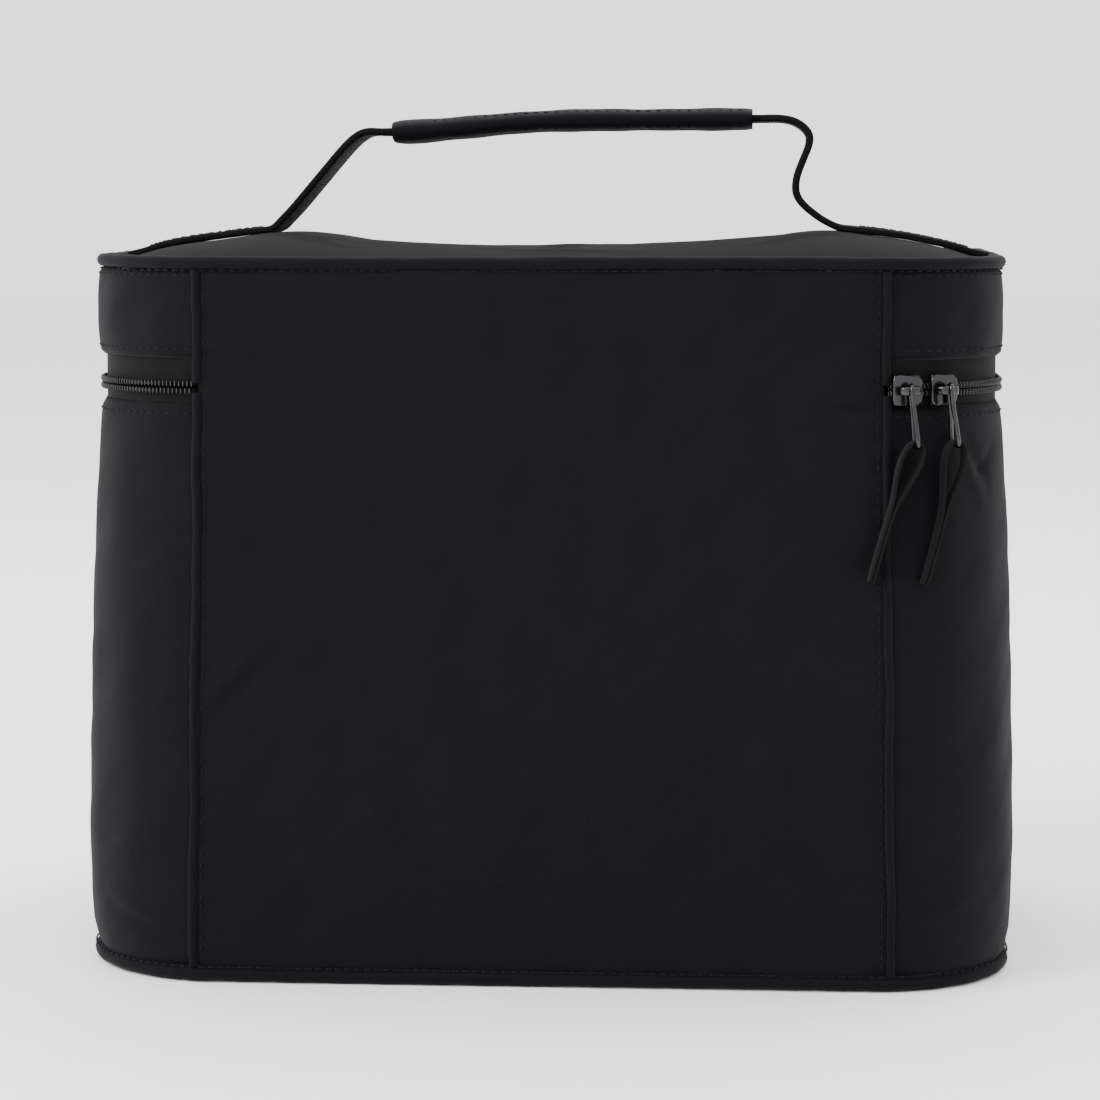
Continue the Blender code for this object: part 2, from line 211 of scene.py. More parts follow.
def spread(x, z):
    """The soft sides splay a little towards the base."""
    return x * (1 + 0.030 * np.clip((165 - z) / 165, 0, 1) ** 1.2)


def bell(v, centre, width):
    return np.exp(-(((v - centre) / width) ** 2))


def fold(s, z, start, end, width, height):
    """A soft ridge, or a groove if its height is negative, along a line on the cloth."""
    a, b = np.array(start, float), np.array(end, float)
    d = b - a
    t = np.clip(((s - a[0]) * d[0] + (z - a[1]) * d[1]) / (d @ d), 0, 1)
    away = np.hypot(s - a[0] - t * d[0], z - a[1] - t * d[1])
    return height * np.exp(-((away / width) ** 2)) * np.sin(pi * (0.12 + 0.76 * t))


def unrest(s, z, seed, size, height):
    """Shallow random unevenness."""
    rng = np.random.default_rng(seed)
    out = np.zeros_like(s, dtype=float)
    for _ in range(14):
        k = rng.normal(0, 1, 2) * 2 * pi / size
        out += np.sin(s * k[0] + z * k[1] + rng.uniform(0, 2 * pi))
    return out * height / 4


# start, end (along the bag, height), width, height of each fold
FOLDS = [
    ((-96, 78), (-72, 104), 3.0, 0.75), ((-95, 74), (-70, 97), 2.6, -0.5),
    ((-95, 120), (-80, 138), 4.0, 0.4), ((-95, 182.5), (-80, 179.0), 1.3, 0.8),
    ((-95, 179.5), (-84, 177.0), 1.2, -0.7), ((82, 164.5), (96, 165.5), 1.0, -0.9),
    ((82, 167.5), (96, 168.0), 1.3, 0.5), ((88, 124), (96, 121), 3.5, -0.9),
    ((80, 96), (95, 88), 3.5, 0.45), ((-108, 83), (-99.5, 82), 1.6, 0.7),
    ((-107, 79), (-100, 79), 1.4, -0.5), ((-124, 20), (-100, 12), 1.6, -0.8),
    ((-124, 24), (-102, 16), 2.0, 0.5), ((121, 156), (131, 143), 1.3, -0.8),
    ((124, 144), (135, 153), 1.3, -0.6), ((120, 150), (128, 138), 1.8, 0.6),
    ((-40, 16), (35, 10), 4.0, 0.5), ((102, 20), (124, 28), 2.2, 0.5),
    ((-90, 196), (-60, 199), 3.0, 0.35), ((55, 198), (92, 195), 3.0, 0.35),
]


def swell(s, z):
    """How far the outer cloth stands out from the plan: padding, sag, folds and seam puckers."""
    s = np.mod(s + LOOP / 2, LOOP) - LOOP / 2
    body = np.clip((z - 4) / 160, 0, 1)
    out = 2.6 * np.sin(pi * body) ** 0.7 * np.where(z < 167, 1, 0) + 1.2 * bell(z, 30, 30)
    out *= 0.35 + 0.65 * np.clip((np.abs(s) - 80) / 35, 0, 1)
    out += np.where(z > 176, 0.9 * np.sin(pi * np.clip((z - 178) / 25, 0, 1)), 0)
    out *= np.clip((z - 3) / 8, 0, 1)
    near_seam = bell(np.abs(s), SEAM, 7)
    out += near_seam * 0.22 * np.sin(z * 2 * pi / 9.0 + 2 * np.sin(z / 17)) - 0.5 * near_seam
    for start, end, width, height in FOLDS:
        out += fold(s, z, start, end, width, height)
    out += unrest(s, z, 3, 60, 0.30) + unrest(s, z, 4, 22, 0.09)
    return out


# ---- mesh building, in millimetres ----

def grid(name, points, uv, mat, closed=(False, False)):
    """A sheet through rows of points."""
    points, uv = np.asarray(points, float), np.asarray(uv, float)
    rows, cols = points.shape[:2]
    i = np.arange(rows if closed[0] else rows - 1)
    j = np.arange(cols if closed[1] else cols - 1)
    i, j = (a.ravel() for a in np.meshgrid(i, j, indexing="ij"))
    i1, j1 = (i + 1) % rows, (j + 1) % cols
    faces = np.stack([i * cols + j, i * cols + j1, i1 * cols + j1, i1 * cols + j], 1)
    data = bpy.data.meshes.new(name)
    data.from_pydata((points.reshape(-1, 3) * MM).tolist(), [], faces.tolist())
    layer = data.uv_layers.new(name="UVMap")
    step = np.diff(uv, axis=1, append=2 * uv[:, -1:] - uv[:, -2:-1])
    across = np.diff(uv, axis=0, append=2 * uv[-1:] - uv[-2:-1])
    here, step, across = uv[i, j], step[i, j], across[i, j]
    corner = np.stack([here, here + step, here + step + across, here + across], 1)
    layer.data.foreach_set("uv", (corner.reshape(-1, 2) * MM).ravel())
    data.polygons.foreach_set("use_smooth", [True] * len(faces))
    data.materials.append(mat)
    obj = bpy.data.objects.new(name, data)
    bpy.context.scene.collection.objects.link(obj)
    return obj


def thicken(obj, thickness, offset=-1):
    """Gives a sheet its thickness, as real mesh."""
    mod = obj.modifiers.new("thickness", "SOLIDIFY")
    mod.thickness, mod.offset = thickness * MM, offset
    bpy.context.view_layer.update()
    done = bpy.data.meshes.new_from_object(obj.evaluated_get(bpy.context.evaluated_depsgraph_get()))
    obj.modifiers.clear()
    obj.data = done
    return obj


def distance_along(line):
    return np.concatenate([[0], np.cumsum(np.linalg.norm(np.diff(line, axis=0), axis=1))])


def ring_faces(start, rings, around_ring):
    """Quads between one ring of vertices and the next."""
    faces = []
    for near in range(start, start + (rings - 1) * around_ring, around_ring):
        far = near + around_ring
        for j in range(around_ring):
            after = (j + 1) % around_ring
            faces.append((near + j, near + after, far + after, far + j))
    return faces


def cap_faces(start, rings, around_ring):
    first = tuple(start + j for j in reversed(range(around_ring)))
    return [first, tuple(start + (rings - 1) * around_ring + j for j in range(around_ring))]


def frames_along(line, up):
    """Directions sideways and upwards at each point of a line."""
    ahead = np.gradient(line, axis=0)
    ahead /= np.linalg.norm(ahead, axis=1)[:, None]
    up = np.broadcast_to(np.asarray(up, float), line.shape)
    side = np.cross(ahead, up)
    side /= np.linalg.norm(side, axis=1)[:, None]
    return side, np.cross(side, ahead)


def sweep(name, line, section, mat, up=(0, 0, 1), closed=False, scale=None):
    """A closed section carried along a line: section points are (sideways, upwards)."""
    line = np.asarray(line, float)
    if closed:
        wrapped = np.concatenate([line[-2:], line, line[:2]])
        ups = up if np.ndim(up) == 1 else np.concatenate([up[-2:], up, up[:2]])
        side, top = (a[2:-2] for a in frames_along(wrapped, ups))
    else:
        side, top = frames_along(line, up)
    section = np.asarray(section, float)
    scale = np.ones(len(line)) if scale is None else np.asarray(scale)
    shape = section[None] * (scale[:, None, None] if scale.ndim == 1 else scale[:, None, :])
    points = line[:, None] + shape[..., :1] * side[:, None] + shape[..., 1:] * top[:, None]
    uv = np.stack(np.meshgrid(distance_along(line), distance_along(section), indexing="ij"), -1)
    obj = grid(name, points, uv, mat, closed=(closed, True))
    if not closed:
        data = obj.data
        n, m = points.shape[:2]
        verts = (points.reshape(-1, 3) * MM).tolist()
        caps = [tuple(range(m)), tuple(reversed(range((n - 1) * m, n * m)))]
        faces = [tuple(p.vertices) for p in data.polygons] + caps
        loops = [tuple(corner.uv) for corner in data.uv_layers[0].data]
        fresh = bpy.data.meshes.new(name)
        fresh.from_pydata(verts, [], faces)
        layer = fresh.uv_layers.new(name="UVMap")
        loops += [(x * MM, y * MM) for x, y in section.tolist()] * 2
        layer.data.foreach_set("uv", np.array(loops).ravel())
        fresh.polygons.foreach_set("use_smooth", [True] * (len(faces) - 2) + [False] * 2)
        fresh.materials.append(mat)
        obj.data = fresh
    face_out(obj)
    return obj


def face_out(obj):
    """Turns a closed piece's faces outwards."""
    bm = bmesh.new()
    bm.from_mesh(obj.data)
    bmesh.ops.recalc_face_normals(bm, faces=bm.faces)
    bm.to_mesh(obj.data)
    bm.free()


def circle(r, n, squash=1.0):
    a = np.linspace(0, 2 * pi, n, endpoint=False)
    return np.stack([r * np.cos(a), r * squash * np.sin(a)], 1)


def slab(width, thick, n=5, edge=0.5):
    """A flat strap's section with rounded edges."""
    r = min(thick / 2, edge)
    pts = []
    for cx, cy, a0 in ((width / 2 - r, thick / 2 - r, 0), (-width / 2 + r, thick / 2 - r, 90),
                       (-width / 2 + r, -thick / 2 + r, 180), (width / 2 - r, -thick / 2 + r, 270)):
        pts += [(cx + r * cos(radians(a)), cy + r * sin(radians(a))) for a in np.linspace(a0, a0 + 90, n)]
    return np.array(pts)


def stitches(name, line, outward, pitch=3.0, length=2.1, r=0.26):
    """A row of lock stitches as one piece: rounded threads that dip into the cloth at both ends."""
    run = distance_along(line)
    count = max(1, int(run[-1] / pitch))
    t = np.linspace(-1, 1, 6)
    verts, faces = [], []
    ring = np.linspace(0, 2 * pi, 6, endpoint=False)
    for k in range(count):
        mid = (k + 0.5) * run[-1] / count
        at = np.array([[np.interp(mid + u * length / 2, run, line[:, c]) for c in range(3)] for u in t])
        out = np.array([np.interp(mid, run, outward[:, c]) for c in range(3)])
        out /= np.linalg.norm(out)
        ahead = at[-1] - at[0]
        ahead /= np.linalg.norm(ahead)
        side = np.cross(ahead, out)
        start = len(verts)
        for u, p in zip(t, at):
            p = p + out * (r * 0.5 - 0.45 * u * u)
            w = r * (1 - 0.35 * u * u)
            verts += [p + w * (cos(a) * side + 0.8 * sin(a) * out) for a in ring]
        faces += ring_faces(start, len(t), len(ring)) + cap_faces(start, len(t), len(ring))
    return solid(name, verts, faces, THREAD)


def solid(name, verts, faces, mat, smooth=True):
    """A piece from its vertices and faces."""
    data = bpy.data.meshes.new(name)
    data.from_pydata((np.asarray(verts) * MM).tolist(), [], faces)
    data.polygons.foreach_set("use_smooth", [smooth] * len(faces))
    data.uv_layers.new(name="UVMap")
    data.materials.append(mat)
    obj = bpy.data.objects.new(name, data)
    bpy.context.scene.collection.objects.link(obj)
    face_out(obj)
    return obj


# ---- outer cloth ----

def cloth_wall(name, s0, s1, z0, z1, columns, rows, mat, edge=None):
    """Cloth round part of the bag, on the swell, its two long edges turned in where edge is a radius."""
    s, z = np.linspace(s0, s1, columns), np.linspace(z0, z1, rows)
    S, Z = np.meshgrid(s, z, indexing="ij")
    out = swell(S, Z)
    if edge:
        for limit in (z0, z1):
            out -= edge * np.clip(1 - np.abs(Z - limit) / edge, 0, 1) ** 2
    x, y, nx, ny = around(S)
    points = np.stack([spread(x + out * nx, Z), y + out * ny, Z], -1)
    obj = grid(name, points, np.stack([S, Z], -1), mat)
    face_out_from(obj)
    return thicken(obj, CLOTH)


def face_out_from(obj):
    """Turns a standing sheet's faces away from the middle of the bag."""
    data = obj.data
    middle = data.polygons[len(data.polygons) // 2]
    if middle.normal.dot(Vector((middle.center.x, middle.center.y, 0))) < 0:
        data.flip_normals()


def on_cloth(s, z, lift):
    """Points a little above the outer cloth, and the direction outwards there."""
    s, z = np.broadcast_arrays(np.asarray(s, float), np.asarray(z, float))
    x, y, nx, ny = around(s)
    out = swell(s, z) + lift
    return np.stack([spread(x + out * nx, z), y + out * ny, z], -1), np.stack([nx, ny, 0 * nx], -1)


S_RIGHT, S_LEFT = SEAM + 0.3, LOOP - SEAM - 0.3
pieces = {"body": [], "lid": []}

back = cloth_wall("back_cloth", -SEAM + 0.3, SEAM - 0.3, 4.2, 203.0, 190, 200, TWILL)
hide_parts("back_panel", "lid_back_panel")

wrap = cloth_wall("side_front_cloth", S_RIGHT, S_LEFT, 4.2, 165.4, 460, 90, TWILL_SIDE, edge=0.9)
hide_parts("side_front_panel")
skirt = cloth_wall("lid_skirt_cloth", S_RIGHT, S_LEFT, 178.2, 203.0, 460, 26, TWILL_SIDE, edge=0.9)
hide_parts("lid_skirt")
pieces["body"].append(wrap)
pieces["lid"].append(skirt)


# ---- raised seams beside the back panel, and the rows of stitches ----

RIDGE = [(-1.15, -0.7), (-1.1, 0.35), (-0.75, 0.8), (-0.1, 0.95), (0.6, 0.75), (1.1, 0.3), (1.15, -0.7)]


def raised_seam(name, side, z0, z1):
    """The ridge where two panels' edges are turned in together."""
    z = np.linspace(z0, z1, max(12, int((z1 - z0) / 1.2)))
    wander = 0.35 * np.sin(z / 11.0) + 0.2 * np.sin(z / 4.3 + side)
    line, out = on_cloth(side * (SEAM + wander * 0.5), z, 0.35)
    height = 1.0 + 0.12 * np.sin(z / 5.1) + 0.1 * np.sin(z / 2.3)
    return sweep(name, line, RIDGE, TWILL, up=out, scale=np.stack([1 + 0 * height, height], 1))


for side, word in ((-1, "left"), (1, "right")):
    lower = raised_seam(f"seam_{word}", side, 4.6, 168.5)
    upper = raised_seam(f"lid_seam_{word}", side, 171.5, 202.6)
    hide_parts(f"seam_ridge_{word}")
    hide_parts(f"lid_ridge_{word}")
    for obj, body in ((lower, "body"), (upper, "lid")):
        pieces[body].append(obj)
    for body, z0, z1 in (("body", 6, 168), ("lid", 172, 202)):
        z = np.linspace(z0, z1, 80)
        line, out = on_cloth(side * (SEAM - 2.3), z, 0.05)
        pieces[body].append(stitches(f"seam_stitches_{word}_{body}", line, out))

s = np.linspace(S_RIGHT + 1, S_LEFT - 1, 700)
for name, z, body in (("body_edge", 162.6, "body"), ("lid_edge", 180.8, "lid"), ("lid_top", 201.4, "lid")):
    line, out = on_cloth(s, z + 0 * s, 0.05)
    pieces[body].append(stitches(f"{name}_stitches", line, out))


# ---- piping and base binding ----

def edging(name, z, r, inset, joint, mat, body, cad, flat=1.0):
    """Cloth-covered cord sewn round the bag, overlapped at a joint."""
    s = np.linspace(0, LOOP, 620, endpoint=False)
    x, y, nx, ny = around(s, inset)
    wobble = 0.18 * np.sin(s / 9.0) + 0.12 * np.sin(s / 3.7)
    height = z + 0.15 * np.sin(s / 31.0) + 0.3 * wobble
    line = np.stack([spread(x + 0.4 * wobble * nx, z), y + 0.4 * wobble * ny, height], -1)
    gap = np.abs(np.mod(s - joint + LOOP / 2, LOOP) - LOOP / 2)
    size = 1 + 0.10 * np.exp(-((gap / 6) ** 2)) - 0.14 * np.exp(-((gap / 0.9) ** 2)) + 0.03 * np.sin(s / 2.1)
    obj = sweep(name, line, circle(r, 14, flat), mat, closed=True, scale=size)
    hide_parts(cad)
    pieces[body].append(obj)


edging("lid_edge_piping", 204.9, 1.85, 0.6, 4.0, TWILL, "lid", "lid_piping")
edging("base_edge_binding", 2.45, 2.0, 1.0, -99.5, TWILL, "body", "base_piping", 1.08)
s = np.linspace(0, LOOP, 900)
rows = (("lid_piping_stitches", 202.75, -0.2, "lid"), ("base_binding_stitches", 4.6, -0.75, "body"))
for name, z, inset, body in rows:
    x, y, nx, ny = around(s, inset)
    line = np.stack([spread(x, z), y, z + 0 * s], -1)
    pieces[body].append(stitches(name, line, np.stack([nx, ny, 0 * nx], -1), 2.8, 1.9, 0.24))


# ---- base ----

s = np.linspace(0, LOOP, 160, endpoint=False)
x, y, _, _ = around(s, 2.2)
rings = np.array([np.stack([spread(x, 0) * f, y * f, 0 * x + 0.02], -1) for f in np.linspace(1, 0.04, 14)])
base = grid("base_cloth", rings, rings[..., :2], PU, closed=(False, True))
if base.data.polygons[0].normal.z > 0:
    base.data.flip_normals()
thicken(base, CLOTH)
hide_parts("base_panel")
pieces["body"].append(base)


# ---- lid top ----

CROWN_END = 126.6
CROWN_X = [
    -CROWN_END, -121, -116, -108, -100, -93, -85, -78, -70, -62, -47, -32, -14, 0,
    14, 28, 43, 58, 70, 78, 86, 94, 102, 110, 116, 121, CROWN_END,
]
CROWN_Z = [
    0, 2.2, 3.6, 5.0, 6.0, 7.0, 7.6, 7.4, 6.7, 5.8, 4.7, 4.0, 3.5, 2.6,
    3.8, 4.6, 5.3, 6.5, 7.5, 7.9, 8.0, 7.2, 6.2, 4.7, 3.4, 2.1, 0,
]
CROWN_FOLDS = [
    ((-88, 12), (-60, 48), 4, 0.9), ((-88, -12), (-58, -45), 4, 0.9), ((88, 12), (62, 50), 4, 0.9),
    ((88, -12), (60, -46), 4, 0.9), ((-20, -30), (24, -52), 5, 0.7), ((-14, 34), (26, 54), 5, 0.7),
]
LID_INSET = 3.0  # the top cloth stops this far inside the bag's plan


def lid_reach(x):
    """Half the depth of the lid's top cloth."""
    r = CORNER - LID_INSET
    past = np.clip(np.abs(x) - FLAT_X, 0, r)
    return FLAT_Y + np.sqrt(r**2 - past**2)


def crown(x, y):
    """Height of the lid's top cloth: lifted by the handle at its roots, slack and dented between them."""
    along = np.mean([np.interp(x + d, CROWN_X, CROWN_Z) for d in np.linspace(-3, 3, 13)], axis=0)
    t = np.clip(np.abs(y) / lid_reach(x), 0, 1)
    rise = along * (1 - t**2.2) + 1.6 * (1 - t**6) * np.clip((CROWN_END - np.abs(x)) / 14, 0, 1) * t
    wrinkle = 0.7 * bell(x, 0, 7) * np.cos(y / 7.0) * (1 - t**4)
    for start, end, width, height in CROWN_FOLDS:
        wrinkle = wrinkle + fold(x, y, start, end, width, height) * (1 - t**6)
    return 204.2 + rise + wrinkle


xs, ts = np.linspace(-1, 1, 170), np.linspace(-1, 1, 100)
xs = np.sign(xs) * (1 - (1 - np.abs(xs)) ** 1.25) * 126.9
X, T = np.meshgrid(xs, ts, indexing="ij")
Y = T * lid_reach(xs)[:, None]
lid_top = grid("lid_top_cloth", np.stack([X, Y, crown(X, Y)], -1), np.stack([X, Y], -1), TWILL_LID)
if lid_top.data.polygons[0].normal.z < 0:
    lid_top.data.flip_normals()
thicken(lid_top, CLOTH)
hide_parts("lid_top_panel")
pieces["lid"].append(lid_top)


# ---- zip: tapes and coils ----

def tape(name, s0, s1, z0, z1, cad, body, columns):
    """A length of zip tape; with no body given, it is attached to no body."""
    S, Z = np.meshgrid(np.linspace(s0, s1, columns), np.linspace(z0, z1, 10), indexing="ij")
    x, y, nx, ny = around(S)
    low = 0.25 * np.sin(S / 7.0) * (1 - np.abs(Z - HINGE_Z) / 12)
    out = -1.3 + 0.2 * low
    points = np.stack([x + out * nx, y + out * ny, Z + low * 0.5], -1)
    obj = grid(name, points, np.stack([S, Z], -1), TAPE)
    face_out_from(obj)
    thicken(obj, 0.6)
    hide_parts(cad)
    if body:
        pieces[body].append(obj)
    return obj


def teeth(name, s0, s1, z, up, cad, body):
    """One side of the coil: a loop of filament for each tooth."""
    pitch, n = 1.3, 7
    count = int((s1 - s0) / pitch)
    verts, faces = [], []
    ring = np.linspace(0, 2 * pi, 6, endpoint=False)
    for k in range(count):
        s = s0 + (k + (0.95 if up > 0 else 0.5)) * (s1 - s0) / (count + 1)
        x, y, nx, ny = (float(v) for v in around(s))
        ahead = np.array([-ny, nx, 0.0])
        out, rise = np.array([nx, ny, 0.0]), np.array([0, 0, float(up)])
        centre = np.array([x, y, z]) - out * 0.15
        start = len(verts)
        for i in range(n):
            a = 2 * pi * i / n
            p = centre + out * 0.62 * cos(a) + rise * 0.78 * sin(a) + ahead * 0.28 * cos(a)
            radial = out * cos(a) + rise * sin(a)
            verts += [p + 0.24 * (cos(b) * radial + sin(b) * ahead) for b in ring]
        m = len(ring)
        for i in range(n):
            near, far = start + i * m, start + (i + 1) % n * m
            faces += [(near + b, near + (b + 1) % m, far + (b + 1) % m, far + b) for b in range(m)]
    obj = solid(name, verts, faces, COIL)
    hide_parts(cad)
    if body:
        pieces[body].append(obj)
    return obj


S_SIDE, S_FAR = FLAT_X + ARC, LOOP - FLAT_X - ARC
tape("lower_tape", S_RIGHT, S_LEFT, 158.6, 169.6, "zip_tape_lower", "body", 460)
tape("upper_tape", S_SIDE, S_FAR, 170.4, 181.4, "zip_tape_upper", "lid", 360)
teeth("lower_teeth", S_RIGHT, S_LEFT, HINGE_Z - 1.0, -1, "zip_coil_lower", "body")
teeth("upper_teeth", S_SIDE, S_FAR, HINGE_Z + 1.0, 1, "zip_coil_upper", "lid")
bends = []
for word, s0, s1 in (("right", S_RIGHT, S_SIDE - 0.2), ("left", S_FAR + 0.2, S_LEFT)):
    bends.append(tape(f"upper_tape_{word}", s0, s1, 170.4, 181.4, f"zip_tape_upper_end_{word}", None, 60))
    bends.append(teeth(f"upper_teeth_{word}", s0, s1, HINGE_Z + 1.0, 1, f"zip_coil_upper_end_{word}", None))


# ---- handle ----

def spline(points, step=1.0):
    """A smooth line through points, evenly spaced."""
    p = np.asarray(points, float)
    p = np.concatenate([[2 * p[0] - p[1]], p, [2 * p[-1] - p[-2]]])
    out = []
    for a, b, c, d in zip(p, p[1:], p[2:], p[3:]):
        for t in np.linspace(0, 1, 12, endpoint=False):
            square, cube = 2 * a - 5 * b + 4 * c - d, 3 * b - a - 3 * c + d
            out.append(0.5 * (2 * b + (c - a) * t + square * t * t + cube * t**3))
    out = np.array(out + [p[-2]])
    run = distance_along(out)
    even = np.linspace(0, run[-1], max(4, int(run[-1] / step)))
    return np.stack([np.interp(even, run, out[:, c]) for c in range(out.shape[1])], 1)


def lying(x):
    """Height of the webbing's middle where it lies on the lid's top cloth."""
    return crown(np.asarray(x, float), np.zeros(len(x))) + 1.45


def swayed(points):
    """A line through points in the XZ plane, swaying a little in depth."""
    line = spline(points)
    return np.stack([line[:, 0], 0.5 * np.sin(line[:, 0] / 35), line[:, 1]], 1)


tail = np.linspace(128.4, 88.5, 9)
left = [(-x, z) for x, z in zip(tail, lying(-tail))]
right = [(x, z) for x, z in zip(tail[::-1], lying(tail[::-1]))]
TOP = [(-38, 242.8), (-24, 244), (-9, 245.2), (8, 245.8), (30, 245.9)]
LEG_LEFT = [
    (-84.6, 213.7), (-81.6, 216.5), (-77.7, 220.6), (-70.1, 229.5), (-62.8, 237.9), (-58.8, 241.3),
    (-55.5, 242.4), (-50.6, 242.3),
]
LEG_RIGHT = [
    (58, 246.1), (67.0, 246.1), (71.8, 244.8), (75.0, 241.9), (75.3, 238.7), (73.6, 234.1), (71.8, 229.1),
    (71.5, 224.7), (73.2, 221.3), (77.2, 217.8), (80.8, 215.5), (84.6, 213.9),
]
line = swayed([*left, *LEG_LEFT, *TOP, *LEG_RIGHT, *right])
away = np.stack([-np.gradient(line[:, 2]), 0 * line[:, 0], np.gradient(line[:, 0])], 1)
strap = sweep("handle_webbing", line, slab(25.0, 2.1, edge=0.9), WEBBING, up=away)
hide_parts("handle_strap", "strap_leg_left", "strap_leg_right", "strap_end_left", "strap_end_right")

GRIP_START, GRIP_END = -48.2, 58.4
GRIP = swayed([(GRIP_START, 242.2), *TOP, (GRIP_END, 246.1)])
a = np.linspace(0, 2 * pi, 40, endpoint=False)
across = 15.6 * np.sign(np.cos(a)) * np.abs(np.cos(a)) ** 0.6
high = 3.35 * np.sign(np.sin(a)) * np.abs(np.sin(a)) ** 0.75
gx = GRIP[:, 0]
plump = 0.97 + 0.14 * bell(gx, -45, 8) + 0.03 * np.sin(gx / 6.0) + 0.02 * np.sin(gx / 2.3)
plump -= 0.10 * (bell(gx, GRIP_START, 1.2) + bell(gx, GRIP_END, 1.2))
section = np.stack([across, high], 1)
sleeve = sweep("grip_cover", GRIP, section, TWILL, scale=np.stack([1 + 0 * plump, plump], 1))
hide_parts("grip_sleeve", "grip_foam")
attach(sleeve, "handle")
for number, (y, dz) in enumerate(((13.0, 2.1), (13.0, -2.1), (-13.0, 2.1), (-13.0, -2.1))):
    edge = GRIP[2:-2] + np.array([0, y, dz * 1.12])
    out = np.tile([0, 0.25 * np.sign(y), np.sign(dz)], (len(edge), 1))
    row = stitches(f"grip_stitches_{number}", edge, out, 3.0, 2.0, 0.28)
    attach(row, "handle")
x0, x1, half = 91.0, 122.0, 10.3  # the sewn box with its cross, at each end of the strap
corners = [(x0, -half), (x1, -half), (x1, half), (x0, half), (x0, -half), (x1, half), (x1, -half), (x0, half)]
path = np.concatenate([np.linspace(p, q, 24, endpoint=False) for p, q in zip(corners, corners[1:])])
for side, word in ((-1, "left"), (1, "right")):
    x = side * path[:, 0]
    box_line = np.stack([x, path[:, 1] + 0.5 * np.sin(x / 35), lying(x) + 1.05], 1)
    up = np.tile([0, 0, 1.0], (len(path), 1))
    pieces["lid"].append(stitches(f"strap_box_{word}", box_line, up, 2.8, 2.0, 0.27))


# ---- sliders and pulls, built facing -Y and turned into place ----

def turned(angle, at):
    """Local (along the zip, inwards, up) to the bag's frame."""
    c, s = cos(radians(angle)), sin(radians(angle))

    def place(points):
        x, y, z = np.moveaxis(np.asarray(points, float), -1, 0)
        return np.stack([at[0] + x * c - y * s, at[1] + x * s + y * c, at[2] + z], -1)

    return place


def rounded_block(low, high, r, taper=None):
    """A block with rounded corners and soft front edges, as rows of points from back to front."""
    x0, y0, z0 = low
    x1, y1, z1 = high
    cx, cz, hx, hz = (x0 + x1) / 2, (z0 + z1) / 2, (x1 - x0) / 2, (z1 - z0) / 2
    rows = []
    soft = min(0.35, (y1 - y0) / 3)
    for y, shrink in ((y1, soft), (y1 - soft, 0), (y0 + soft, 0), (y0 + soft * 0.3, soft * 0.4), (y0, soft)):
        a, b = hx - shrink, hz - shrink
        rr = min(r, a, b)
        ring = []
        for sx, sz, start in ((1, 1, 0), (-1, 1, 90), (-1, -1, 180), (1, -1, 270)):
            for t in np.linspace(start, start + 90, 4):
                px = cx + sx * (a - rr) + rr * cos(radians(t))
                pz = cz + sz * (b - rr) + rr * sin(radians(t))
                if taper:
                    pz = cz + (pz - cz) * np.interp((px - x0) / (x1 - x0), (0, 1), taper)
                ring.append((px, y, pz))
        rows.append(ring)
    return np.array(rows)


def closed_rows(name, blocks, mat, place):
    """One piece from several stacks of rings, each capped."""
    verts, faces = [], []
    for rows in blocks:
        n, m = rows.shape[:2]
        faces += ring_faces(len(verts), n, m) + cap_faces(len(verts), n, m)
        verts += place(rows.reshape(-1, 3)).tolist()
    obj = solid(name, verts, faces, mat, smooth=False)
    for poly in obj.data.polygons:
        poly.use_smooth = len(poly.vertices) == 4
    return obj


def arch_rows(points, width, thick):
    """A flat bar bent along points in the (along, inwards) plane."""
    p = np.asarray(points, float)
    ahead = np.gradient(p, axis=0)
    ahead /= np.linalg.norm(ahead, axis=1)[:, None]
    across = np.stack([-ahead[:, 1], ahead[:, 0]], 1)
    bevelled = ((1, 0.7), (0.7, 1), (-0.7, 1), (-1, 0.7), (-1, -0.7), (-0.7, -1), (0.7, -1), (1, -0.7))
    rows = []
    for (x, y), (ax, ay) in zip(p, across):
        rows.append([(x + ax * thick / 2 * a, y + ay * thick / 2 * a, width / 2 * b) for a, b in bevelled])
    return np.array(rows)


def at(inset):
    """Place on a slider's inward axis, from its distance inside the bag's plan."""
    return inset - CORNER


